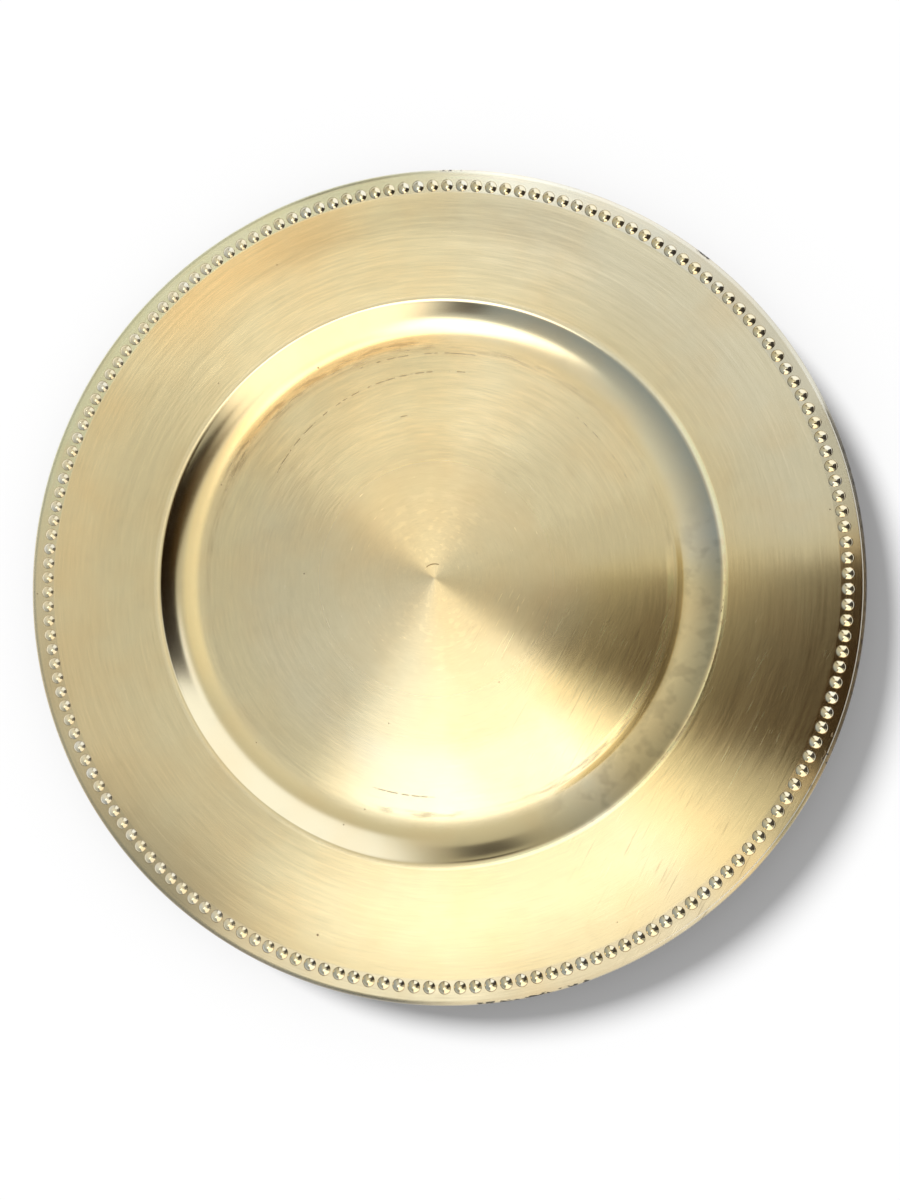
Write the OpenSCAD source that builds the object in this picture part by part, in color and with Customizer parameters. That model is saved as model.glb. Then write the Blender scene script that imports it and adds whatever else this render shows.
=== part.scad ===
// A round beaded charger plate: a dark moulded body and the thin gold facing that covers
// its top. The plate stands on the plane z = 0, and its axis is the z axis.
// Heights go up from the table, radii go out from the axis.

/* [Plate] */
// Diameter over the rim's outer edge
plate_d = 330; // [290:1:360]
// Thickness of the plate from its gold face to its underside
shell_t = 2.6; // [2.5:0.1:4]
// Thickness of the gold facing alone
facing_t = 0.3; // [0.15:0.05:0.5]

/* [Well] */
// Diameter of the flat floor of the well
floor_d = 191; // [150:1:210]
// Radius of the hollow curve between the floor and the wall
well_r = 24; // [14:1:34]
// Slope of the wall where it meets the well's edge
wall_a = 45; // [35:1:60]
// Radius of the turned edge between the wall and the rim
edge_r = 1.5; // [1:0.1:3]

/* [Rim] */
// Slope of the rim
rim_a = 8; // [3:0.5:14]
// Width of the flat border that carries the beads, with the lip
border_w = 9.9; // [9:0.1:12]
// Width of the lip outside the border
lip_w = 2.3; // [1.6:0.1:2.5]
// Radius of the lip's crown
lip_r = 3.2; // [3:0.1:6]
// Drop of the small step between the border and the lip
lip_step = 0.4; // [0.38:0.02:0.6]
// Radius under the outer edge
under_edge_r = 0.5; // [0.2:0.1:0.7]
// Height of the facing's trimmed edge above the underside
trim_h = 0.9; // [0.8:0.05:1.1]

/* [Beads] */
// Number of beads in the ring
bead_count = 168; // [120:1:190]
// Distance from the rim's bend to the beads
bead_gap = 0.35; // [0.2:0.05:1]
// Diameter of a bead where it meets the border
bead_d = 4.7; // [3.5:0.1:5]
// Height of a bead above the border
bead_h = 1.3; // [0.8:0.1:1.8]

/* [Foot] */
// Height of the foot ring
foot_h = 3; // [2:0.1:5]
// Width of the foot ring's flat face
foot_w = 1.6; // [1:0.1:4]
// Radius of the foot ring's two lower edges
foot_r = 0.4; // [0.2:0.1:0.6]
// Draft of the foot ring's two sides
foot_a = 8; // [2:1:15]
// How far the foot ring stays inside the edge of the floor below it in a stack
nest_gap = 0.4; // [0.2:0.1:2]

/* [Underside] */
// Radius inside the corner between the wall and the rim
under_r = 3; // [1:0.5:6]
// Diameter of the shallow dish around the gate
dish_d = 18; // [12:1:30]
// Depth of that dish
dish_h = 0.4; // [0.2:0.1:0.8]
// Diameter of the trimmed gate
gate_d = 3.6; // [2:0.2:6]
// Height of the trimmed gate above the bottom of its dish
gate_h = 0.6; // [0.3:0.1:1]
// Number of ejector marks
mark_count = 8; // [4:1:12]
// Diameter of an ejector mark
mark_d = 8; // [5:0.5:12]
// Depth of an ejector mark
mark_h = 0.2; // [0.1:0.1:0.5]
// Diameter of the ring that the ejector marks lie on
mark_ring_d = 132; // [90:1:160]

/* [Hidden] */
// Facets of a full circle, and of a bead's
$fn = 120;
bead_facets = 24;
// Largest turn between two points of an arc
arc_a = 6;
// How far a cut or a root runs past the face that it crosses
overrun = 0.05;

floor_r = floor_d / 2;
under_z = foot_h;
floor_z = under_z + shell_t;
rim_r = plate_d / 2;

// Middle of the well's hollow curve, above the floor's edge
well_c = [floor_r, floor_z + well_r];
// Middle of the turned edge, inside the plate
edge_c = well_c + (well_r + edge_r) * [sin(wall_a), -cos(wall_a)];
// Where the rim's slope ends at the flat border
border_in = rim_r - border_w;
border_z = edge_c.y + edge_r / cos(rim_a) + (border_in - edge_c.x) * tan(rim_a);
// Middle of the lip's crown
lip_c = [rim_r - lip_w, border_z - lip_step - lip_r];
trim_z = border_z - shell_t + trim_h;
// Turn of the hollow curve on the underside, up to its inside corner
under_a = rim_a + acos(((well_r + edge_r) * cos(wall_a - rim_a) - edge_r + shell_t + under_r)
  / (well_r + shell_t + under_r));
corner_c = well_c + (well_r + shell_t + under_r) * [sin(under_a), -cos(under_a)];

// How far a foot side spreads from the flat face up to the floor's underside
foot_spread = foot_r * cos(foot_a) + (under_z - foot_r + foot_r * sin(foot_a)) * tan(foot_a);
foot_out = floor_r - nest_gap - foot_spread;
foot_in = foot_out - foot_w;

bead_ring_r = border_in + bead_gap + bead_d / 2;
bead_sphere_r = (bead_h * bead_h + bead_d * bead_d / 4) / (2 * bead_h);
bead_z = border_z + bead_h - bead_sphere_r;

// Points along an arc about c, from angle a0 to angle a1
function arc(c, r, a0, a1) =
  let (steps = max(1, ceil(abs(a1 - a0) / arc_a)))
  [for (i = [0 : steps]) let (a = a0 + (a1 - a0) * i / steps) c + r * [cos(a), sin(a)]];

function flip(points) = [for (i = [len(points) - 1 : -1 : 0]) points[i]];

// The bend between two slopes of the plate, as seen at depth d under its face
function bend(p, d) = p + d * [tan(rim_a / 2), -1];

// The plate's face from the axis to the facing's trimmed edge, at depth d under the gold
function face_line(d) = concat(
  [[0, floor_z - d]],
  arc(well_c, well_r + d, -90, wall_a - 90),
  arc(edge_c, edge_r - d, wall_a + 90, rim_a + 90),
  [bend([border_in, border_z], d)],
  [[lip_c.x - d, border_z - d], [lip_c.x - d, border_z - d - lip_step]],
  arc(lip_c, lip_r - d, 90, acos((lip_w - d) / (lip_r - d))),
  [[rim_r - d, trim_z]]);

// The underside from the outer edge back to the axis
function under_line() = concat(
  [[rim_r, trim_z]],
  arc([rim_r - under_edge_r, border_z - shell_t + under_edge_r], under_edge_r, 0, -90),
  [bend([border_in, border_z], shell_t)],
  arc(corner_c, under_r, rim_a + 90, under_a + 90),
  arc(well_c, well_r + shell_t, under_a - 90, -90),
  [[foot_out + foot_spread, under_z]],
  arc([foot_out, foot_r], foot_r, -foot_a, -90),
  arc([foot_in, foot_r], foot_r, -90, foot_a - 180),
  [[foot_in - foot_spread, under_z]],
  [[dish_d / 2, under_z], [dish_d / 2 - dish_h, under_z + dish_h]],
  [[gate_d / 2, under_z + dish_h], [gate_d / 2, under_z + dish_h - gate_h]],
  [[0, under_z + dish_h - gate_h]]);

// The top of a sphere about the bead's middle, from depth root under the border upwards
module bead_cap(r, root) {
  translate([0, 0, bead_z]) rotate_extrude($fn = bead_facets) intersection() {
    circle(r = r, $fn = bead_facets);
    translate([0, border_z - root - bead_z]) square([r, r]);
  }
}

module bead_ring(r, root) {
  for (i = [0 : bead_count - 1])
    rotate([0, 0, 360 * i / bead_count]) translate([bead_ring_r, 0, 0]) bead_cap(r, root);
}

// The beads as the body has them, which the facing is pressed over
module moulded_beads() {
  bead_ring(bead_sphere_r - facing_t, facing_t + overrun);
}

module ejector_marks() {
  for (i = [0 : mark_count - 1])
    rotate([0, 0, 360 * (i + 1 / 2) / mark_count])
      translate([mark_ring_d / 2, 0, under_z - overrun])
        cylinder(d = mark_d, h = mark_h + overrun);
}

module moulded_body() {
  color([0.17, 0.14, 0.11]) difference() {
    union() {
      rotate_extrude() polygon(concat(face_line(facing_t), under_line()));
      moulded_beads();
    }
    ejector_marks();
  }
}

module gilt_facing() {
  color([0.84, 0.75, 0.52]) difference() {
    union() {
      rotate_extrude() polygon(concat(face_line(0), flip(face_line(facing_t))));
      bead_ring(bead_sphere_r, overrun);
    }
    moulded_beads();
  }
}

moulded_body();
gilt_facing();
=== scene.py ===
"""Dresses a beaded charger plate: a spun gold facing with its beads, a dark moulded body, and a
light tent to see them in. Lengths are metres, +Z is up and the plate stands on z = 0."""

import math

import bpy
import numpy as np
from bpy.props import FloatProperty, FloatVectorProperty, IntProperty, PointerProperty
from mathutils import Matrix, Vector


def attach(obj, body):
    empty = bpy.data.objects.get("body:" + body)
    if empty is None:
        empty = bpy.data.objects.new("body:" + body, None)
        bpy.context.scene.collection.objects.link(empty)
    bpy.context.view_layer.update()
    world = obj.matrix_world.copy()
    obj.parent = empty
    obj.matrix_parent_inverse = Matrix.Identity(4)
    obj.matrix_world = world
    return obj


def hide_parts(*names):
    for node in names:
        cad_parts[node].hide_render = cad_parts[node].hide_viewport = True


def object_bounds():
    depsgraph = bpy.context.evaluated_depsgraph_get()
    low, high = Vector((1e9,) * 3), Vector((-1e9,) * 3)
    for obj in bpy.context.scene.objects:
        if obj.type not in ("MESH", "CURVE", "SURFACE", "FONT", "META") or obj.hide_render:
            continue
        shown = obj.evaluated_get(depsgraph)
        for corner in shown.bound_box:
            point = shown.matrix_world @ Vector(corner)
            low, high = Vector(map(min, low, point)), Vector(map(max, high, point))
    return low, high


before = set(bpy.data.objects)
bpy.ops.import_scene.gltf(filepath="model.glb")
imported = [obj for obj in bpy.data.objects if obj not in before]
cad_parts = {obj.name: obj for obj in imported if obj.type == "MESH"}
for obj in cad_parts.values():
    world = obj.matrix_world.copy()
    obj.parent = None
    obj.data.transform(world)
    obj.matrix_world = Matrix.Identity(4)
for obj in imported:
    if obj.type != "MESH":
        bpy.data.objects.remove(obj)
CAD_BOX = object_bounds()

bl_info = {
    "name": "Beaded charger plate",
    "version": (1, 0, 0),
    "blender": (4, 5, 0),
    "location": "View3D > Sidebar > Charger plate",
    "description": "A round charger plate with a spun gold face, a ring of beads and a dark moulded body",
    "category": "Add Mesh",
}

MM = 0.001
# Segments of a turned surface, and the largest turn between two points of its outline
TURN_STEPS = 360
ARC_STEP = math.radians(3)
# Two strokes whose ends lie closer than this meet
JOIN_GAP = 1e-7
# Segments and bands of one bead
BEAD_SEGMENTS = 16
BEAD_BANDS = 3
# How deep a bead's base lies under the border, within the facing
BEAD_ROOT = 0.05 * MM
# Segments and rows of a dome of the stage
DOME_SEGMENTS = 64
DOME_ROWS = 48
# How far the floor lies under the plate, so that no two faces share a plane
FLOOR_DROP = 0.02 * MM
# Height and corners (x, y) of the dark card's level wedge
WEDGE_Z = 0.300
WEDGE_CORNERS = ((0.042, -0.041), (0.68, -0.274), (0.68, 0.078), (0.14, 0.028), (0.042, -0.007))
# Distance and corners (y, z) of its upright sheet
SHEET_X = 0.8
SHEET_CORNERS = ((-0.3, 0.01), (0.42, 0.01), (0.44, 0.44), (0.51, 1.15), (-0.72, 1.15), (-0.3, 0.44))
# The long side of the photograph in pixels and of the camera's sensor in millimetres
FRAME_PX = 1200
SENSOR_MM = 36
CLIP_START = 10 * MM


def length(name, description, default):
    """A size that a user can change."""
    return FloatProperty(name=name, description=description, default=default, unit="LENGTH", precision=5)


def angle(name, description, degrees):
    """A slope or a direction that a user can change."""
    return FloatProperty(
        name=name, description=description, default=math.radians(degrees), subtype="ANGLE", unit="ROTATION")


def amount(name, description, default):
    """A plain number that a user can change."""
    return FloatProperty(name=name, description=description, default=default, min=0)


def colour(name, description, default):
    """A linear colour that a user can change."""
    return FloatVectorProperty(
        name=name, description=description, default=default, subtype="COLOR", size=3, min=0, max=4)


class PlateSizes(bpy.types.PropertyGroup):
    """The plate's turned section, as the solids have it."""

    plate_d: length("Plate diameter", "Diameter over the rim's outer edge", CAD_BOX[1].x - CAD_BOX[0].x)
    shell_t: length("Thickness", "Thickness from the gold face to the underside", 2.6 * MM)
    facing_t: length("Facing", "Thickness of the gold facing alone", 0.3 * MM)
    foot_h: length("Foot height", "Height of the foot ring under the floor", 3 * MM)
    floor_d: length("Floor diameter", "Diameter of the flat floor of the well", 191 * MM)
    well_r: length("Well curve", "Radius of the hollow curve between floor and wall", 24 * MM)
    wall_a: angle("Wall slope", "Slope of the wall where it meets the well's edge", 45)
    edge_r: length("Turned edge", "Radius of the edge between wall and rim", 1.5 * MM)
    soft_r: length("Rubbed edge", "Radius that polishing leaves on that edge", 3.4 * MM)
    rim_a: angle("Rim slope", "Slope of the rim", 8)
    border_w: length("Border", "Width of the flat border, with the lip", 9.9 * MM)
    lip_w: length("Lip", "Width of the lip outside the border", 2.3 * MM)
    lip_r: length("Lip crown", "Radius of the lip's crown", 3.2 * MM)
    lip_step: length("Lip step", "Drop of the step between border and lip", 0.4 * MM)
    trim_h: length("Trim height", "Height of the facing's trimmed edge above the underside", 0.9 * MM)


class BeadSizes(bpy.types.PropertyGroup):
    """The ring of beads."""

    count: IntProperty(name="Beads", description="Number of beads in the ring", default=168, min=3)
    gap: length("Bead gap", "Distance from the rim's bend to the beads", 0.35 * MM)
    seat_d: length("Bead seat", "Mean diameter of a bead where it meets the border", 4.7 * MM)
    across: length("Bead width", "Size of a bead along the ring", 4.9 * MM)
    along: length("Bead length", "Size of a bead across the border", 5.1 * MM)
    height: length("Bead height", "Height of a bead above the border", 1.3 * MM)


class PlateFinish(bpy.types.PropertyGroup):
    """Colours of the plate's finishes."""

    gilt: colour("Gilt", "The gold face", (0.84, 0.735, 0.51))
    # Also the tint of the painted highlights on the lip and the turned edge
    pale: colour("Thin lacquer", "Where the tinted lacquer is thin", (0.80, 0.765, 0.66))
    lacquer: colour("Thick lacquer", "Where the tinted lacquer pooled", (0.87, 0.62, 0.33))
    # Also the tint of the painted highlight band on the fillet
    honey: colour("Honey lacquer", "Where the tinted lacquer is a little thick", (0.82, 0.64, 0.30))
    # Also the painted shade round the beads' feet
    tarnish_and_shade: colour("Tarnish", "Rubbed and soiled marks on the gold", (0.23, 0.15, 0.08))
    resin: colour("Resin", "The dark moulded body", (0.028, 0.022, 0.017))


class StageLook(bpy.types.PropertyGroup):
    """The floor, the tent of light and the camera."""

    floor_size: length("Floor size", "Side of the square floor", 4.0)
    floor_tone: colour("Floor tone", "The pale floor", (0.9, 0.9, 0.9))
    tent_r: length("Tent radius", "Radius of the tent of light", 2.0)
    tent_top: colour("Tent top", "The tent straight above the plate", (0.97, 0.92, 0.735))
    warm_wall: colour("Warm wall", "The tent's walls behind the plate", (0.41, 0.393, 0.294))
    cool_wall: colour("Cool wall", "The tent's walls in front of the plate", (0.286, 0.333, 0.36))
    high_window: colour("High window", "The window above the front of the plate", (2.7, 2.62, 2.2))
    side_window: colour("Side window", "The tall window at the front right", (1.7, 1.54, 1.22))
    back_window: colour("Back window", "The tall window at the back right", (1.2, 1.25, 1.28))
    stand_tone: colour("Stands", "Two narrow stands before the tent's walls", (0.09, 0.08, 0.065))
    card_near: colour("Card, near end", "The dark card close to the camera", (0.052, 0.025, 0.001))
    card_far: colour("Card, far end", "The dark card further out", (0.012, 0.006, 0.002))
    backdrop_r: length("Backdrop radius", "Radius of the plain backdrop round the whole stage", 6.0)
    backdrop_tone: colour("Backdrop tone", "The plain backdrop", (0.93, 0.93, 0.93))
    fill: amount("Fill", "Strength of the even soft light", 0.45)
    key_strength: amount("Key", "Strength of the soft light from the upper left, W/m2", 3.7)
    key_spread: angle("Key spread", "How wide the key light looks from the plate", 17)
    key_az: angle("Key direction", "Direction of the key light, anticlockwise from +X", 141)
    key_tilt: angle("Key tilt", "How far the key light leans from straight above", 55)
    under_strength: amount("Under light", "Strength of the light on the plate's underside, W/m2", 6.0)
    under_spread: angle("Under light spread", "How wide the under light looks from the plate", 40)
    under_az: angle("Under light direction", "Direction of the under light, anticlockwise from +X", 150)
    under_tilt: angle("Under light tilt", "How far the under light leans from straight above", 135)
    focal_px: amount("Focal length", "Focal length in pixels of the photograph", 867)
    camera_place: FloatVectorProperty(
        name="Camera place", description="Where the photograph was taken from",
        default=(38.8 * MM, -30.2 * MM, 355.8 * MM), unit="LENGTH")
    camera_turn: FloatVectorProperty(
        name="Camera turn", description="Turn from looking straight down, as an axis times an angle",
        default=(0.0606, 0.0924, 0), unit="ROTATION")


# Shader expressions

class Val:
    """A number socket in an expression. Each operator adds its Math node."""

    def __init__(self, graph, socket):
        self.graph = graph
        self.socket = socket

    def math(self, operation, *values):
        node = self.graph.add("ShaderNodeMath", {"operation": operation}, dict(enumerate((self, *values))))
        return Val(self.graph, node.outputs[0])

    def _reflected(self, operation, other):
        node = self.graph.add("ShaderNodeMath", {"operation": operation}, {0: other, 1: self})
        return Val(self.graph, node.outputs[0])

    def __add__(self, other):
        return self.math("ADD", other)

    __radd__ = __add__

    def __sub__(self, other):
        return self.math("SUBTRACT", other)

    def __rsub__(self, other):
        return self._reflected("SUBTRACT", other)

    def __mul__(self, other):
        return self.math("MULTIPLY", other)

    __rmul__ = __mul__

    def __truediv__(self, other):
        return self.math("DIVIDE", other)

    def __rtruediv__(self, other):
        return self._reflected("DIVIDE", other)

    def __pow__(self, other):
        return self.math("POWER", other)

    def __rpow__(self, other):
        return self._reflected("POWER", other)

    def __abs__(self):
        return self.math("ABSOLUTE")

    def least(self, other):
        return self.math("MINIMUM", other)

    def most(self, other):
        return self.math("MAXIMUM", other)

    def rise(self, low, high):
        """0 below low, 1 above high and a smooth step between. With low above high it falls."""
        ends = (low, high, 0, 1) if low < high else (high, low, 1, 0)
        node = self.graph.add(
            "ShaderNodeMapRange", {"interpolation_type": "SMOOTHSTEP"}, dict(enumerate((self, *ends))))
        return Val(self.graph, node.outputs[0])

    def band(self, centre, half, soft):
        """1 within half of centre, fading to 0 over soft on both sides."""
        return abs(self - centre).rise(half + soft, half)


class Graph:
    """A node tree that is written as expressions."""

    def __init__(self, tree):
        tree.nodes.clear()
        self.tree = tree

    def add(self, kind, settings, inputs):
        """Adds a node of a type, then its settings, then the values or links of its inputs."""
        node = self.tree.nodes.new(kind)
        for name, value in settings.items():
            setattr(node, name, value)
        for key, value in inputs.items():
            self.feed(node.inputs[key], value)
        return node

    def feed(self, socket, value):
        if isinstance(value, Val):
            self.tree.links.new(value.socket, socket)
        elif isinstance(value, bpy.types.NodeSocket):
            self.tree.links.new(value, socket)
        else:
            socket.default_value = value

    def noise(self, x, y, z, detail):
        """Noise about 0.5 of a point whose units are the size of its features."""
        point = self.add("ShaderNodeCombineXYZ", {}, {0: x, 1: y, 2: z})
        node = self.add("ShaderNodeTexNoise", {"noise_dimensions": "3D"}, {
            "Vector": point.outputs[0], "Scale": 1.0, "Detail": detail, "Roughness": 0.5})
        return Val(self, node.outputs[0])

    def specks(self, x, y, z, size, reach):
        """Round specks: 1 inside a random few cells' centres. size is a speck's radius in cells."""
        point = self.add("ShaderNodeCombineXYZ", {}, {0: x, 1: y, 2: z})
        node = self.add("ShaderNodeTexVoronoi", {"feature": "F1"}, {"Vector": point.outputs[0], "Scale": 1.0})
        tint = self.add("ShaderNodeSeparateColor", {}, {0: node.outputs["Color"]})
        chosen = Val(self, tint.outputs[0]).rise(1 - reach, 1 - reach + 0.01)
        return Val(self, node.outputs["Distance"]).rise(size, size * 0.5) * chosen

    def mix(self, factor, a, b):
        """Colour a, going to colour b as factor goes to 1."""
        node = self.add("ShaderNodeMix", {"data_type": "RGBA"}, {0: factor, 6: a, 7: b})
        return node.outputs[2]

    def shade(self, factor, a):
        """Colour a times a number."""
        start = a[:3] if isinstance(a, tuple) else a
        node = self.add("ShaderNodeVectorMath", {"operation": "SCALE"}, {0: start, "Scale": factor})
        return node.outputs[0]

    def bump(self, height, strength, distance):
        """A normal from a height that runs from 0 to 1 over distance."""
        node = self.add("ShaderNodeBump", {}, {"Height": height, "Strength": strength, "Distance": distance})
        return node.outputs[0]

    def principled(self, inputs):
        return self.add("ShaderNodeBsdfPrincipled", {}, inputs).outputs[0]

    def layer(self, factor, a, b):
        """Shader a, going to shader b as factor goes to 1."""
        return self.add("ShaderNodeMixShader", {}, {0: factor, 1: a, 2: b}).outputs[0]

    def surface(self, shader):
        self.add("ShaderNodeOutputMaterial", {}, {"Surface": shader})


def rgba(colour_value):
    """A colour property as the four numbers that a socket takes."""
    return (*colour_value, 1.0)


def new_material(name):
    material = bpy.data.materials.new(name)
    material.use_nodes = True
    return material, Graph(material.node_tree)


class Place:
    """A point of a piece by its Object coordinates x, y and z, and noise about 0.5 there. Sizes of
    noise are in millimetres."""

    def __init__(self, g):
        self.g = g
        node = g.add("ShaderNodeTexCoord", {}, {})
        split = g.add("ShaderNodeSeparateXYZ", {}, {0: node.outputs["Object"]})
        self.x, self.y, self.z = (Val(g, out) for out in split.outputs)

    def clouds(self, size, detail, layer=0):
        """Flat clouds of a size. Each layer has clouds of its own."""
        return self.g.noise(self.x / (size * MM), self.y / (size * MM), self.z + layer, detail)

    def grain(self, size, detail):
        """Grain of one size in all directions."""
        return self.g.noise(self.x / (size * MM), self.y / (size * MM), self.z / (size * MM), detail)


class Compass(Place):
    """A point by its radius r from the z axis and its direction (u, v) round it, and masks by both.
    Radii and sizes are in millimetres, directions in degrees anticlockwise from +X. The gap, in
    metres, is added to r, so that the axis itself has a direction too."""

    def __init__(self, g, gap=0.01 * MM):
        super().__init__(g)
        self.r = (self.x * self.x + self.y * self.y) ** 0.5 + gap
        self.u = self.x / self.r
        self.v = self.y / self.r

    def toward(self, direction):
        """Cosine of the angle between a point's direction and another."""
        a = math.radians(direction)
        return self.u * math.cos(a) + self.v * math.sin(a)

    def sector(self, direction, half, soft):
        """1 within half degrees of a direction, fading to 0 over soft degrees."""
        full, none = math.radians(half), math.radians(half + soft)
        return self.toward(direction).rise(math.cos(none), math.cos(full))

    def ring(self, radius, half, soft):
        """1 within half of a radius, fading to 0 over soft."""
        return self.r.band(radius * MM, half * MM, soft * MM)

    def off_ring(self, radius, half, soft, shift, direction):
        """A ring whose middle lies off the axis by shift in a direction."""
        return (self.r - shift * MM * self.toward(direction)).band(radius * MM, half * MM, soft * MM)

    def between(self, start, full):
        """0 at the radius start and 1 at the radius full, which may be the smaller one."""
        return self.r.rise(start * MM, full * MM)

    def strokes(self, width, cuts, detail):
        """Noise in strokes round the axis, each a width across and about r / cuts long."""
        return self.g.noise(self.r / (width * MM), self.u * cuts, self.v * cuts, detail)

    def breaks(self, width, cuts, detail):
        """Other strokes of that kind, which break a ring into dashes."""
        return self.g.noise(self.u * cuts, self.v * cuts, self.r / (width * MM), detail)


# Turned surfaces

def arc(centre, radius, start, end, out=1):
    """Points centre + radius (cos a, sin a) for a from start to end, and their normals, which point
    away from the centre where out is 1 and towards it where out is -1."""
    steps = max(2, math.ceil(abs(end - start) / ARC_STEP) + 1)
    a = np.linspace(start, end, steps)
    ring = np.stack([np.cos(a), np.sin(a)], 1)
    return np.asarray(centre) + radius * ring, out * ring


def line(p, q):
    """Two points p and q and the normal on the left of the way from p to q."""
    p, q = np.asarray(p, float), np.asarray(q, float)
    d = (q - p) / np.hypot(*(q - p))
    n = np.array([-d[1], d[0]])
    return np.stack([p, q]), np.stack([n, n])


def chain(strokes):
    """Joins strokes end to end: their points, and for each edge between two points its two normals."""
    points = [strokes[0][0][:1]]
    starts, ends = [], []
    for p, n in strokes:
        gap = np.hypot(*(p[0] - points[-1][-1]))
        if gap > JOIN_GAP:
            q, m = line(points[-1][-1], p[0])
            points.append(q[1:])
            starts.append(m[:1])
            ends.append(m[1:])
        points.append(p[1:])
        starts.append(n[:-1])
        ends.append(n[1:])
    return np.concatenate(points), np.concatenate(starts), np.concatenate(ends)


def reverse(strokes):
    """The same strokes walked backwards, with their normals turned round."""
    return [(p[::-1], -n[::-1]) for p, n in strokes[::-1]]


def azimuths(m):
    """m directions evenly round the axis."""
    return np.arange(m) * (2 * np.pi / m)


def spin(p, a):
    """Points or normals (r, z) turned to each azimuth a: (r cos a, r sin a, z)."""
    r, z = p[:, :1], p[:, 1:]
    return np.stack([r * np.cos(a), r * np.sin(a), z * np.ones(len(a))], -1)


def fan(m):
    """Triangles from vertex 0 to the ring of m vertices after it."""
    j = np.arange(m)
    return np.stack([np.zeros(m, int), 1 + j, 1 + (j + 1) % m], -1)


def bands(first, rows, m):
    """Quads between neighbouring rings of m vertices, the first of which starts at vertex first."""
    j = np.arange(m)
    k = (j + 1) % m
    i = np.arange(rows - 1)[:, None] * m + first
    return np.stack([i + j, i + m + j, i + m + k, i + k], -1).reshape(-1, 4)


def new_mesh(name, verts, faces, corner_normals):
    """A mesh object at the origin whose faces' corners have the given normals."""
    mesh = bpy.data.meshes.new(name)
    mesh.from_pydata(verts.tolist(), [], faces)
    mesh.shade_smooth()
    mesh.normals_split_custom_set(corner_normals.tolist())
    piece = bpy.data.objects.new(name, mesh)
    bpy.context.scene.collection.objects.link(piece)
    return piece


def turned_mesh(name, strokes):
    """A closed surface of revolution: the point (r, z) of the outline at azimuth a goes to
    (r cos a, r sin a, z). The outline starts and ends on the axis, where each pole is one vertex."""
    p, n0, n1 = chain(strokes)
    m = TURN_STEPS
    a = azimuths(m)
    rings = spin(p[1:-1], a)
    verts = np.concatenate([[[0, 0, p[0, 1]]], rings.reshape(-1, 3), [[0, 0, p[-1, 1]]]])
    j = np.arange(m)
    k = (j + 1) % m
    pole = len(verts) - 1
    last = pole - m
    last_fan = np.stack([last + j, np.full(m, pole), last + k], -1)
    faces = fan(m).tolist() + bands(1, len(rings), m).tolist() + last_fan.tolist()

    b = a[k]
    half = a + np.pi / m
    middle = slice(1, len(n0) - 1)
    corners = (
        (spin(n0[:1], half), spin(n1[:1], a), spin(n1[:1], b)),
        (spin(n0[middle], a), spin(n1[middle], a), spin(n1[middle], b), spin(n0[middle], b)),
        (spin(n0[-1:], a), spin(n1[-1:], half), spin(n0[-1:], b)))
    return new_mesh(name, verts, faces, np.concatenate([np.stack(n, 2).reshape(-1, 3) for n in corners]))


class Section:
    """The places that the plate's outline goes through, worked out from its sizes as (radius, height)."""

    def __init__(self, s):
        self.s = s
        self.floor_z = s.foot_h + s.shell_t
        self.floor_r = s.floor_d / 2
        self.rim_r = s.plate_d / 2
        self.well_c = np.array([self.floor_r, self.floor_z + s.well_r])
        off_wall = np.array([math.sin(s.wall_a), -math.cos(s.wall_a)])
        self.edge_c = self.well_c + (s.well_r + s.edge_r) * off_wall
        self.border_in = self.rim_r - s.border_w
        self.border_z = (self.edge_c[1] + s.edge_r / math.cos(s.rim_a)
                         + (self.border_in - self.edge_c[0]) * math.tan(s.rim_a))
        self.soft_c, self.wall_end = self.round_edge()
        self.lip_c = np.array([self.rim_r - s.lip_w, self.border_z - s.lip_step - s.lip_r])
        self.trim_z = self.border_z - s.shell_t + s.trim_h

    def round_edge(self):
        """Middle of a rounder edge that touches the well's curve and the rim, and the slope where it
        leaves the well's curve. It lies soft_r under the rim, and well_r + soft_r from the curve's middle."""
        s = self.s
        way = np.array([math.cos(s.rim_a), math.sin(s.rim_a)])
        up = np.array([-way[1], way[0]])
        start = np.array([self.border_in, self.border_z]) - s.soft_r * up - self.well_c
        half = start @ way
        away = start + (math.sqrt(half * half - start @ start + (s.well_r + s.soft_r) ** 2) - half) * way
        return self.well_c + away, math.atan2(away[0], -away[1])

    def face(self, d):
        """The strokes of the face from the axis to the trimmed edge, at depth d under the gold."""
        s = self.s
        turn = math.pi / 2
        bend = np.array([self.border_in + d * math.tan(s.rim_a / 2), self.border_z - d])
        step = np.array([self.lip_c[0] - d, self.border_z - d])
        drop = step - [0, s.lip_step]
        lip_end = math.acos((s.lip_w - d) / (s.lip_r - d))
        well = arc(self.well_c, s.well_r + d, -turn, self.wall_end - turn, -1)
        edge = arc(self.soft_c, s.soft_r - d, self.wall_end + turn, s.rim_a + turn)
        lip = arc(self.lip_c, s.lip_r - d, turn, lip_end)
        return [
            line([0, self.floor_z - d], well[0][0]), well, edge, line(edge[0][-1], bend), line(bend, step),
            line(step, drop), lip, line(lip[0][-1], [self.rim_r - d, self.trim_z])]


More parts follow.
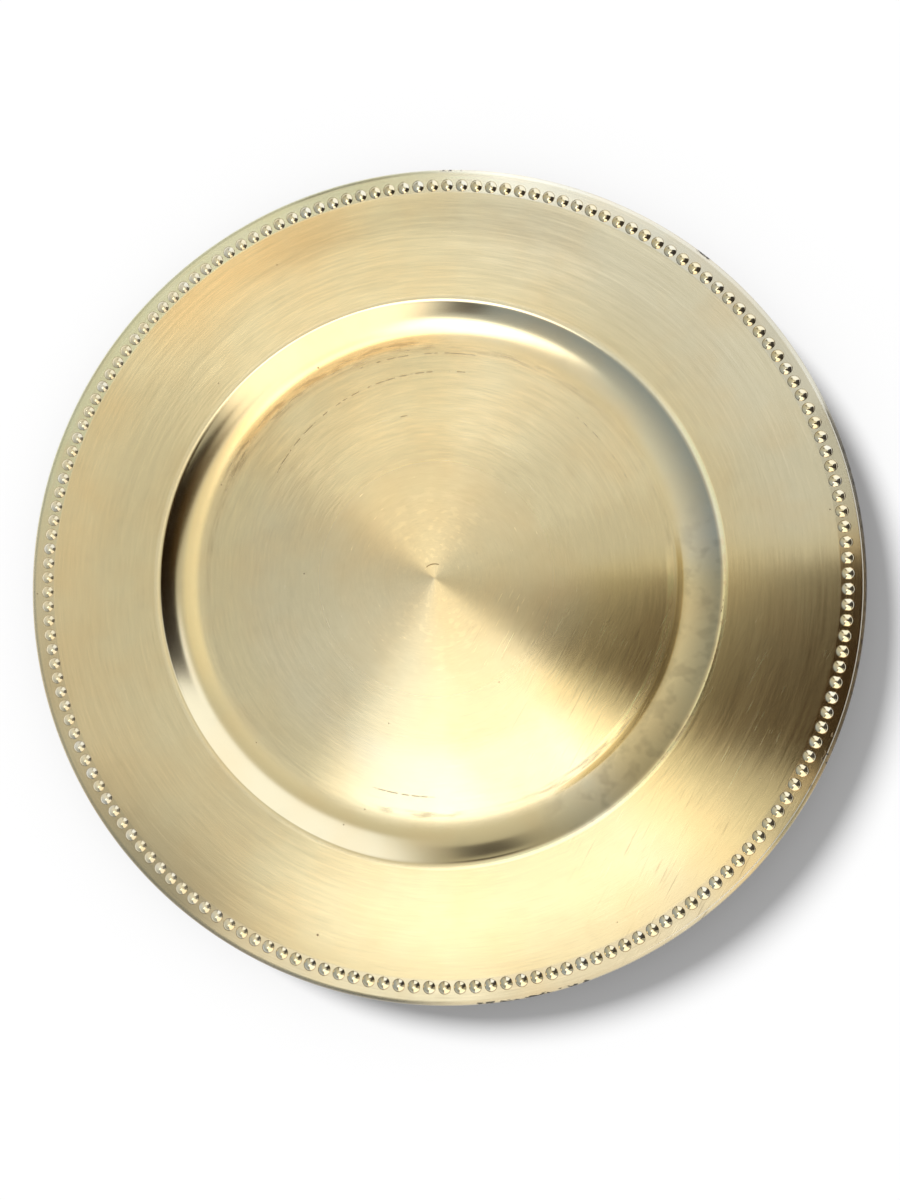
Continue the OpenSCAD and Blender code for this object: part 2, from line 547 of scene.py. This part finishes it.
def bead_mesh(name, section, beads):
    """A ring of oval domes. A dome is a paraboloid: at share q of its half width and azimuth b its point
    is (along / 2 q cos b, across / 2 q sin b, height (1 - q q))."""
    h = beads.height
    m = BEAD_SEGMENTS
    half = np.array([beads.along / 2, beads.across / 2])
    q = np.linspace(0, math.sqrt(1 + BEAD_ROOT / h), BEAD_BANDS + 1)[1:]
    b = azimuths(m)
    flat = np.stack([np.outer(q, np.cos(b)), np.outer(q, np.sin(b))], -1)
    flat = np.concatenate([[[0, 0]], flat.reshape(-1, 2)])
    dome = np.column_stack([flat * half, h * (1 - (flat ** 2).sum(1))])
    normal = np.column_stack([2 * h * flat / half, np.ones(len(flat))])
    normal /= np.linalg.norm(normal, axis=1, keepdims=True)

    ring_r = section.border_in + beads.gap + beads.seat_d / 2
    turn = azimuths(beads.count)
    cos, sin = np.cos(turn)[:, None], np.sin(turn)[:, None]

    def around(p, away):
        """Points or normals of one bead, turned to every bead's place."""
        x, y, z = p[:, 0][None] + away, p[:, 1][None], np.broadcast_to(p[:, 2], (len(turn), len(p)))
        return np.stack([x * cos - y * sin, x * sin + y * cos, z], -1)

    verts = around(dome + [0, 0, section.border_z], ring_r).reshape(-1, 3)
    normals = around(normal, 0.0).reshape(-1, 3)
    start = (np.arange(beads.count) * len(dome))[:, None, None]
    caps = (fan(m)[None] + start).reshape(-1, 3)
    sides = (bands(1, BEAD_BANDS, m)[None] + start).reshape(-1, 4)
    foot = (1 + (BEAD_BANDS - 1) * m + np.arange(m))[::-1]
    feet = foot[None] + start[:, :, 0]
    down = np.broadcast_to([0, 0, -1.0], (feet.size, 3))
    corners = np.concatenate([normals[caps.ravel()], normals[sides.ravel()], down])
    return new_mesh(name, verts, caps.tolist() + sides.tolist() + feet.tolist(), corners)


# Finishes

class GiltFace(Compass):
    """The gold face's zones, the brush's strokes on it, its lacquer, the marks of use, and the light
    and shade painted on it.
    """

    def __init__(self, g, section):
        super().__init__(g)
        foot, edge, border = (r / MM for r in (section.floor_r, section.edge_c[0], section.border_in))
        self.wall = self.between(foot + 1, foot + 7) * self.between(edge + 1.6, edge + 0.2)
        self.brush = 1 - self.wall
        self.border = self.between(border - 0.6, border + 0.4)
        # A painted highlight on the turned edge between wall and rim, made paler and lighter
        self.painted_edge_highlight = self.ring(section.soft_c[0] / MM - 0.3, 0.7, 0.6)
        # Painted light on the border at the upper left and painted shade on it at the bottom, both also paler
        self.painted_lit_border = self.border * self.sector(115, 40, 40)
        self.painted_shaded_border = self.border * self.sector(285, 35, 25)
        self.cool_wall = self.wall * self.sector(335, 26, 18)
        # A browner line on the fillet at the lower right, with painted shade along it
        self.dark_fillet_line = self.ring(98.2, 0.6, 0.9) * self.sector(335, 22, 16)
        # A painted highlight: a lighter, yellower band on the fillet at the left
        self.painted_highlight_band = self.ring(102.3, 1.6, 2.2) * self.sector(165, 28, 20)
        self.fine = self.strokes(0.42, 7, 2.0)
        self.broad = self.strokes(1.5, 4, 2.0)
        self.streak = (self.fine - 0.5) * 0.9 + (self.broad - 0.5) * 0.9
        self.cloud = self.clouds(32, 3.0)
        self.chip_noise = self.breaks(1.2, 60, 3.0)
        self.scuff, self.furrow = self.cross_strokes()

    def thick_lacquer(self):
        """Clouds all over, the places where the lacquer pooled, and the browner line on the fillet."""
        sector, ring, between = self.sector, self.ring, self.between
        upper_rim = sector(120, 8, 16) * between(128, 150) * (1 - self.border)
        upper_foot = sector(118, 14, 20) * ring(100.5, 1.6, 3.5)
        upper_wall = sector(105, 30, 60) * ring(99, 3, 5)
        left_rim = sector(200, 30, 45) * between(124, 150)
        upper_floor = sector(105, 30, 40) * between(112, 60)
        middle = between(60, 20)
        right_border = self.border * sector(346, 13, 9)
        depth = (self.cloud - 0.45) * 0.9 + upper_rim * 0.7 + upper_foot + upper_wall * 0.25
        depth = depth + left_rim * 0.22 + upper_floor * 0.14 + middle * 0.12
        return depth + right_border * 0.7 + self.dark_fillet_line * 0.3

    def honey_lacquer(self):
        """The places where the lacquer is a little thick, the browner line on the fillet, and the yellower
        painted highlight band on the fillet.
        """
        lower_right = self.sector(338, 18, 14) * self.between(45, 75)
        return lower_right * 0.6 + self.dark_fillet_line + self.painted_highlight_band * 0.3

    def thin_lacquer(self):
        """The places where the lacquer is thin, and paler gold on the turned edge's painted highlight and
        on the border's painted light and shade.
        """
        right_rim = self.sector(22, 35, 50) * self.between(105, 145)
        left_floor = self.sector(205, 40, 40) * self.between(90, 70)
        lower_floor = self.sector(285, 20, 30) * self.ring(84, 8, 12)
        right_wall = self.sector(15, 55, 40) * self.wall
        depth = right_rim * 0.75 + left_floor * 0.35 + lower_floor * 0.6 + right_wall * 0.45
        return depth + self.painted_edge_highlight * 0.2 + (self.painted_lit_border + self.painted_shaded_border + self.cool_wall) * 0.6

    def dark_marks(self):
        """Rubbed rings, scratches, pits and the centre's mark."""
        sector, ring, x, y, z = self.sector, self.ring, self.x, self.y, self.z
        dash = self.breaks(3, 26, 2.0)
        smear = self.breaks(1.6, 11, 3.0)
        rubbed = sector(110, 50, 20) * 0.4 + (sector(267, 7, 5) + sector(322, 20, 15)) * 0.6 + 0.15
        rubbed = rubbed * ring(95.4, 0.5, 1.3) * smear.rise(0.35, 0.75)
        blot = ring(97.8, 1.0, 1.8) * sector(122, 24, 14) * smear.rise(0.42, 0.7)
        long_arc = self.off_ring(76, 0.16, 0.2, 10, 80) * sector(112, 33, 3) * dash.rise(0.46, 0.56)
        high_arc = ring(93.6, 0.12, 0.2) * sector(95, 14, 2) * dash.rise(0.48, 0.56)
        far_arc = ring(87.3, 0.1, 0.2) * sector(38, 9, 3) * dash.rise(0.48, 0.6)
        low_arc = ring(88.2, 0.12, 0.2) * sector(262, 6, 3) * dash.rise(0.4, 0.5)
        two_dashes = ring(68.6, 0.14, 0.14) * sector(101, 1.3, 0.4).most(sector(88, 0.5, 0.4))
        centre_mark = self.off_ring(4.9, 0.12, 0.2, 1, 90) * sector(100, 24, 8)
        edge_nicks = ring(113.3, 0.25, 0.2) * sector(342, 12, 6) * self.chip_noise.rise(0.62, 0.66)
        pits = self.g.specks(x / (9 * MM), y / (9 * MM), z, 0.045, 0.22)
        dots = self.g.specks(x / (21 * MM) + 5, y / (21 * MM) + 2, z, 0.028, 0.4)
        scratches = long_arc + high_arc + far_arc * 0.5 + low_arc + two_dashes
        deep_marks = centre_mark + edge_nicks + dots
        return (rubbed + pits) * 0.55 + blot * 0.42 + scratches * 0.6 + deep_marks * 0.8

    def cross_strokes(self):
        """Pale scuffs and dark furrows on the lower right, which cross the brush's strokes."""
        lean = math.radians(62)
        along = self.x * math.cos(lean) + self.y * math.sin(lean)
        across = self.y * math.cos(lean) - self.x * math.sin(lean)
        patch = self.clouds(11, 2.0, 7)
        worn = self.sector(325, 20, 14) * self.between(18, 34) * self.brush
        scuff = self.g.noise(along / (20 * MM), across / (0.45 * MM), 0.0, 2.0).rise(0.64, 0.74)
        furrow = self.g.noise(along / (24 * MM), across / (0.8 * MM), 3.0, 2.0).rise(0.58, 0.72)
        return scuff * patch.rise(0.4, 0.6) * worn, furrow * patch.rise(0.62, 0.4) * worn

    def chips(self):
        """Where the film is gone, at the trimmed edge and on the lip, and a band of the resin's dark colour
        on the lip's outer edge at the right.
        """
        sector, between, noise = self.sector, self.between, self.chip_noise
        edge = sector(284, 7, 1.5).most(sector(87.5, 1.3, 0.6)).most(sector(49.6, 0.9, 0.6))
        edge = edge * noise.rise(0.48, 0.56) * between(163.7, 164.3)
        lip = sector(335, 3, 2) * between(161.6, 162.4) * noise.rise(0.55, 0.62)
        # A band of the resin's dark colour on the lip's outer edge at the right
        dark_lip_band = sector(358, 16, 14) * between(163.7, 164.1) * (0.5 + noise * 0.7)
        return edge.most(lip).most(dark_lip_band)

    def brightness(self):
        """Strokes of the brush, scuffs, furrows, dirt and blotches, then painted light and painted shade:
        places made lighter or darker for how light falls on the gold.
        """
        sector, ring, between = self.sector, self.ring, self.between
        hair = self.strokes(0.32, 12, 1.0)
        hair = hair.rise(0.62, 0.72) - hair.rise(0.38, 0.28)
        mottle = self.strokes(5, 9, 3.0) - 0.5
        strokes = self.brush * (self.streak * 0.14 + hair * 0.05 + mottle * 0.08)

        # Painted glints on the strokes near the centre, above and below it
        centre = self.strokes(2.1, 6, 1.0).rise(0.54, 0.68) * between(52, 24)
        centre = centre * (sector(90, 30, 25) + sector(270, 30, 25))
        # Painted light on the outer rim, most on the side towards the key light
        rim = between(128, 150) * (0.03 + sector(140, 20, 40) * 0.1)
        # The turned edge's painted highlight, strongest at the lower right
        painted_edge_highlight = self.painted_edge_highlight * (0.08 + sector(335, 45, 30) * 0.25)
        # A painted highlight where the floor meets the fillet at the lower right, and painted light on the
        # upper floor
        painted_fillet_highlight = ring(94.6, 1.0, 1.0) * sector(340, 18, 12)
        upper_floor = ring(78, 14, 12) * sector(85, 22, 20)
        # Lighter: the scuffs are wear; the rest of this sum is painted light and painted highlights
        light = self.scuff * 0.5 + centre * 0.1 + rim + painted_edge_highlight + painted_fillet_highlight * 0.3
        light = light + self.painted_lit_border * 0.22 + self.painted_highlight_band * 0.2 + upper_floor * 0.1

        # Painted shade on the upper rim, the lower rim and the border at the back
        haze = self.g.noise(self.x / (70 * MM) + 3, self.y / (70 * MM), self.z, 2.0)
        upper_rim = sector(92, 16, 20) * ring(147, 3, 9) * (0.6 + haze * 0.8)
        painted_shaded_lower_rim = sector(268, 40, 25) * between(128, 160)
        painted_shaded_back_border = self.border * sector(48, 16, 18)
        soiled = self.clouds(14, 4.0, 4).rise(0.55, 0.75)
        blotches = self.cool_wall * self.clouds(8, 2.0, 2).rise(0.48, 0.64)
        # Darker: furrows and dirt are marks of use and the wall's blotches vary at random; the rest of this
        # sum is painted shade
        dim = self.furrow * 0.2 + upper_rim * 0.17 + painted_shaded_lower_rim * 0.34 + self.dark_fillet_line * 0.35
        dim = dim + self.painted_shaded_border * 0.1 + painted_shaded_back_border * 0.2 + soiled * 0.035 + blotches * 0.16
        return 1 + strokes + light - dim


def gilt_material(section, finish):
    """Metallised film under a tinted lacquer, polished on the wall and brushed in circles everywhere
    else, with the marks of use and with painted light, shade and highlights in its colour."""
    material, g = new_material("spun_gilt")
    face = GiltFace(g, section)
    dark = face.dark_marks()
    chips = face.chips()
    # A painted highlight on the lip at the right: a pale line, less metallic, so it takes diffuse light
    painted_lip_highlight = face.ring(163.3, 0.1, 0.22) * face.sector(345, 32, 20)

    tint = g.mix(face.thin_lacquer().least(1), rgba(finish.gilt), rgba(finish.pale))
    tint = g.mix(face.honey_lacquer().least(1), tint, rgba(finish.honey))
    tint = g.mix(face.thick_lacquer().most(0).least(1), tint, rgba(finish.lacquer))
    # The brush's strokes, the marks, and painted light and painted shade scale the colour here
    tint = g.shade(face.brightness(), tint)
    tint = g.mix(dark.least(0.9), tint, rgba(finish.tarnish_and_shade))
    tint = g.mix(painted_lip_highlight, tint, rgba(finish.pale))
    tint = g.mix(chips.least(1), tint, rgba(finish.resin))
    # No metal where the film is gone, and less on the lip's painted highlight
    metal = 1 - chips.most(painted_lip_highlight * 0.75)

    stroke_n = g.bump(face.fine * 0.5 + face.broad * 0.5, 0.1, 0.02 * MM)
    rough = 0.251 - face.between(70, 95) * 0.026 + face.streak * 0.07 + face.scuff * 0.1 + dark * 0.2

    def brushed(rotation, roughness, grain):
        """Gold whose glints are drawn out across its strokes. rotation is a share of a whole turn."""
        return g.principled({
            "Base Color": tint, "Metallic": metal, "Roughness": roughness,
            "Anisotropic": grain, "Anisotropic Rotation": rotation, "Normal": stroke_n})

    # Some strokes lean a little one way and some the other, and close to the centre they cross more
    radial, swing = 0.25, 0.007
    leaning = face.strokes(0.9, 5, 3.0).rise(0.36, 0.64)
    ragged = g.layer(leaning, brushed(radial - swing, rough, 1.0), brushed(radial + swing, rough, 1.0))
    crossed = g.layer(face.between(65, 20) * 0.8, ragged, brushed(radial, rough + 0.08, 0.78))
    polished = g.principled({
        "Base Color": tint, "Metallic": metal, "Roughness": 0.16 + (face.cloud - 0.5) * 0.1 + dark * 0.2,
        "Normal": g.bump(face.grain(4, 3.0), 0.16, 0.02 * MM)})
    g.surface(g.layer(face.wall, crossed, polished))
    return material


def bead_material(section, finish):
    """The same film where it is pressed over the beads, bright and a little uneven, with painted light
    on the ring's left side and painted shade round each bead's foot.
    """
    material, g = new_material("bead_gilt")
    at = Compass(g)
    cloud = at.clouds(9, 2.0)
    # Painted light: the beads on the left are less metallic, so they take diffuse light and look lighter
    left = at.u.rise(-0.2, -0.7)
    # Painted shade round each bead's foot, in the dark colour of the marks
    foot = (at.z - section.border_z).rise(0.3 * MM, 0.1 * MM)
    tint = g.mix(cloud.rise(0.25, 0.6), rgba(finish.pale), rgba(finish.gilt))
    tint = g.mix(foot * 0.6, tint, rgba(finish.tarnish_and_shade))
    g.surface(g.principled({
        "Base Color": tint, "Metallic": 0.92 - left * 0.3, "Roughness": 0.05 + (cloud - 0.5) * 0.04,
        "Normal": g.bump(at.grain(1.1, 2.0), 0.12, 0.05 * MM)}))
    return material


def resin_material(finish):
    """Dark moulded resin with a fine satin texture."""
    material, g = new_material("moulded_resin")
    at = Place(g)
    cloud = at.grain(25, 3.0)
    g.surface(g.principled({
        "Base Color": g.shade(0.8 + cloud * 0.5, rgba(finish.resin)), "Roughness": 0.42 + (cloud - 0.5) * 0.2,
        "Normal": g.bump(at.grain(0.35, 3.0), 0.3, 0.06 * MM)}))
    return material


# The stage

def glow_material(name, light):
    """A glow that is seen and isn't sampled as a lamp. light makes its colour from the node tree."""
    material, g = new_material(name)
    glow = g.add("ShaderNodeEmission", {}, {"Color": light(g), "Strength": 1.0})
    g.surface(glow.outputs[0])
    material.cycles.emission_sampling = "NONE"
    return material


def tent_light(g, look):
    """The tent's walls, which darken downwards, its three windows and two stands before the walls.
    t is the angle from straight above in degrees."""
    at = Compass(g, 1 * MM)
    away = (at.x * at.x + at.y * at.y + at.z * at.z) ** 0.5
    t = (at.z / away).math("ARCCOSINE") * math.degrees(1)
    walls = g.mix(at.sector(240, 45, 70), rgba(look.warm_wall), rgba(look.cool_wall))
    light = g.mix(t.rise(-40, 84), rgba(look.tent_top), walls)
    light = g.mix(at.sector(271, 42, 12) * t.rise(39, 31), light, rgba(look.high_window))
    light = g.mix(at.sector(292, 22, 11) * t.rise(8, 17), light, rgba(look.side_window))
    light = g.mix(at.sector(56, 31, 12) * t.rise(27, 35), light, rgba(look.back_window))
    for direction, half in ((108, 4), (255, 3)):
        stand = at.sector(direction, half, half) * t.rise(42, 48) * t.rise(72, 66)
        light = g.mix(stand, light, rgba(look.stand_tone))
    return light


def card_light(g, look):
    """The dark card's faint tone, browner close to the camera."""
    return g.mix(Compass(g).between(140, 280), rgba(look.card_near), rgba(look.card_far))


def floor_material(look):
    """A matt pale floor, clear from below so that the plate's underside can be seen."""
    material, g = new_material("pale_floor")
    tone = g.shade(0.985 + Place(g).clouds(400, 2.0) * 0.03, rgba(look.floor_tone))
    matt = g.principled({"Base Color": tone, "Roughness": 0.9, "Specular IOR Level": 0.0})
    clear = g.add("ShaderNodeBsdfTransparent", {}, {}).outputs[0]
    below = g.add("ShaderNodeNewGeometry", {}, {}).outputs["Backfacing"]
    g.surface(g.layer(below, matt, clear))
    return material


def stage_object(name, verts, faces, material):
    """An object of the stage, which isn't part of the plate."""
    mesh = bpy.data.meshes.new(name)
    mesh.from_pydata(verts, [], faces)
    mesh.materials.append(material)
    piece = bpy.data.objects.new(name, mesh)
    bpy.context.scene.collection.objects.link(piece)
    return piece


def stage_dome(name, radius, end, material):
    """A dome seen from inside: at polar angle t up to end and azimuth a,
    radius (sin t cos a, sin t sin a, cos t)."""
    t = np.linspace(0, end, DOME_ROWS)
    verts = radius * spin(np.stack([np.sin(t), np.cos(t)], 1), azimuths(DOME_SEGMENTS))
    inward = bands(0, DOME_ROWS, DOME_SEGMENTS)[:, ::-1]
    return stage_object(name, verts.reshape(-1, 3).tolist(), inward.tolist(), material)


def only_in_gloss(piece):
    """Leaves the object to reflections alone."""
    piece.visible_camera = False
    piece.visible_diffuse = False
    piece.visible_shadow = False
    piece.visible_transmission = False


# Operators

class PLATE_OT_gilt_facing(bpy.types.Operator):
    """Turns the gold facing from the plate's section"""

    bl_idname = "plate.gilt_facing"
    bl_label = "Gilt facing"

    def execute(self, context):
        scene = context.scene
        section = Section(scene.plate_sizes)
        under = reverse(section.face(scene.plate_sizes.facing_t))
        piece = turned_mesh("spun_facing", section.face(0) + under)
        piece.data.materials.append(gilt_material(section, scene.plate_finish))
        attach(piece, "root")
        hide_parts("gilt_facing")
        return {"FINISHED"}


class PLATE_OT_bead_ring(bpy.types.Operator):
    """Sets the ring of beads on the border"""

    bl_idname = "plate.bead_ring"
    bl_label = "Bead ring"

    def execute(self, context):
        scene = context.scene
        section = Section(scene.plate_sizes)
        piece = bead_mesh("bead_ring", section, scene.bead_sizes)
        piece.data.materials.append(bead_material(section, scene.plate_finish))
        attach(piece, "root")
        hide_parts("gilt_facing")
        return {"FINISHED"}


class PLATE_OT_moulded_body(bpy.types.Operator):
    """Gives the moulded body its resin finish"""

    bl_idname = "plate.moulded_body"
    bl_label = "Moulded body"

    def execute(self, context):
        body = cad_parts["moulded_body"]
        body.data.materials.clear()
        body.data.materials.append(resin_material(context.scene.plate_finish))
        return {"FINISHED"}


class PLATE_OT_stage(bpy.types.Operator):
    """Lays the pale floor, puts up the tent of light and the camera"""

    bl_idname = "plate.stage"
    bl_label = "Stage"

    def execute(self, context):
        scene = context.scene
        look = scene.stage_look
        self.add_floor(look)
        self.add_tent(look)
        self.add_card(look)
        self.add_sun(scene, look, "key", look.key_strength, look.key_spread, look.key_az, look.key_tilt)
        self.add_sun(
            scene, look, "under_light", look.under_strength, look.under_spread, look.under_az,
            look.under_tilt)
        self.add_camera(scene, look)
        self.add_fill(scene, look)
        scene.view_settings.view_transform = "Standard"
        return {"FINISHED"}

    def add_floor(self, look):
        half = look.floor_size / 2
        square = ((-half, -half), (half, -half), (half, half), (-half, half))
        verts = [(x, y, -FLOOR_DROP) for x, y in square]
        floor = stage_object("pale_floor", verts, [(0, 1, 2, 3)], floor_material(look))
        floor.visible_shadow = False

    def add_tent(self, look):
        light = glow_material("tent_light", lambda g: tent_light(g, look))
        tent = stage_dome("light_tent", look.tent_r, math.pi / 2, light)
        only_in_gloss(tent)
        plain = glow_material("plain_backdrop", lambda g: rgba(look.backdrop_tone))
        backdrop = stage_dome("backdrop", look.backdrop_r, math.pi, plain)
        only_in_gloss(backdrop)
        backdrop.visible_camera = True
        backdrop.visible_glossy = False

    def add_card(self, look):
        """A dark wedge that starts beside the camera and widens to the right, and a sheet behind it."""
        wedge = [(x, y, WEDGE_Z) for x, y in WEDGE_CORNERS]
        sheet = [(SHEET_X, y, z) for y, z in SHEET_CORNERS]
        verts = wedge + sheet
        faces = [tuple(range(len(wedge))), tuple(range(len(wedge), len(verts)))]
        tone = glow_material("dark_card", lambda g: card_light(g, look))
        only_in_gloss(stage_object("dark_card", verts, faces, tone))

    def add_sun(self, scene, look, name, strength, spread, direction, tilt):
        """A soft distant light from a direction round the axis, leaning from straight above by tilt."""
        lamp = bpy.data.lights.new(name, "SUN")
        lamp.angle = spread
        lamp.energy = strength
        sun = bpy.data.objects.new(name, lamp)
        scene.collection.objects.link(sun)
        lean = math.sin(tilt)
        back = Vector((lean * math.cos(direction), lean * math.sin(direction), math.cos(tilt)))
        sun.location = back * look.tent_r
        sun.rotation_mode = "QUATERNION"
        sun.rotation_quaternion = back.to_track_quat("Z", "Y")
        sun.visible_glossy = False

    def add_camera(self, scene, look):
        lens = bpy.data.cameras.new("camera")
        lens.sensor_width = SENSOR_MM
        lens.lens = SENSOR_MM * look.focal_px / FRAME_PX
        lens.clip_start = CLIP_START
        camera = bpy.data.objects.new("camera", lens)
        scene.collection.objects.link(camera)
        turn = Vector(look.camera_turn)
        spin_by = Matrix.Rotation(turn.length, 4, turn.normalized())
        camera.matrix_world = Matrix.Translation(look.camera_place) @ spin_by
        scene.camera = camera

    def add_fill(self, scene, look):
        world = bpy.data.worlds.new("soft_fill")
        world.use_nodes = True
        scene.world = world
        g = Graph(world.node_tree)
        sky = g.add("ShaderNodeBackground", {}, {"Color": rgba((1, 1, 1)), "Strength": look.fill})
        g.add("ShaderNodeOutputWorld", {}, {"Surface": sky.outputs[0]})


class PLATE_PT_panel(bpy.types.Panel):
    """Sizes, colours and pieces of the charger plate"""

    bl_idname = "PLATE_PT_panel"
    bl_label = "Charger plate"
    bl_space_type = "VIEW_3D"
    bl_region_type = "UI"
    bl_category = "Charger plate"

    def draw(self, context):
        scene = context.scene
        for title, group in (
                ("Plate", scene.plate_sizes), ("Beads", scene.bead_sizes),
                ("Finish", scene.plate_finish), ("Stage", scene.stage_look)):
            box = self.layout.box()
            box.label(text=title)
            for name in group.__annotations__:
                box.prop(group, name)
        for operator in OPERATORS:
            self.layout.operator(operator.bl_idname)


GROUPS = {
    "plate_sizes": PlateSizes, "bead_sizes": BeadSizes, "plate_finish": PlateFinish, "stage_look": StageLook}
OPERATORS = (PLATE_OT_gilt_facing, PLATE_OT_bead_ring, PLATE_OT_moulded_body, PLATE_OT_stage)


def register():
    for group in GROUPS.values():
        bpy.utils.register_class(group)
    for name, group in GROUPS.items():
        setattr(bpy.types.Scene, name, PointerProperty(type=group))
    for item in (*OPERATORS, PLATE_PT_panel):
        bpy.utils.register_class(item)


def unregister():
    for item in (PLATE_PT_panel, *OPERATORS[::-1]):
        bpy.utils.unregister_class(item)
    for name in GROUPS:
        delattr(bpy.types.Scene, name)
    for group in tuple(GROUPS.values())[::-1]:
        bpy.utils.unregister_class(group)


def main():
    register()
    bpy.ops.plate.gilt_facing()
    bpy.ops.plate.bead_ring()
    bpy.ops.plate.moulded_body()
    bpy.ops.plate.stage()


if __name__ == "__main__":
    main()
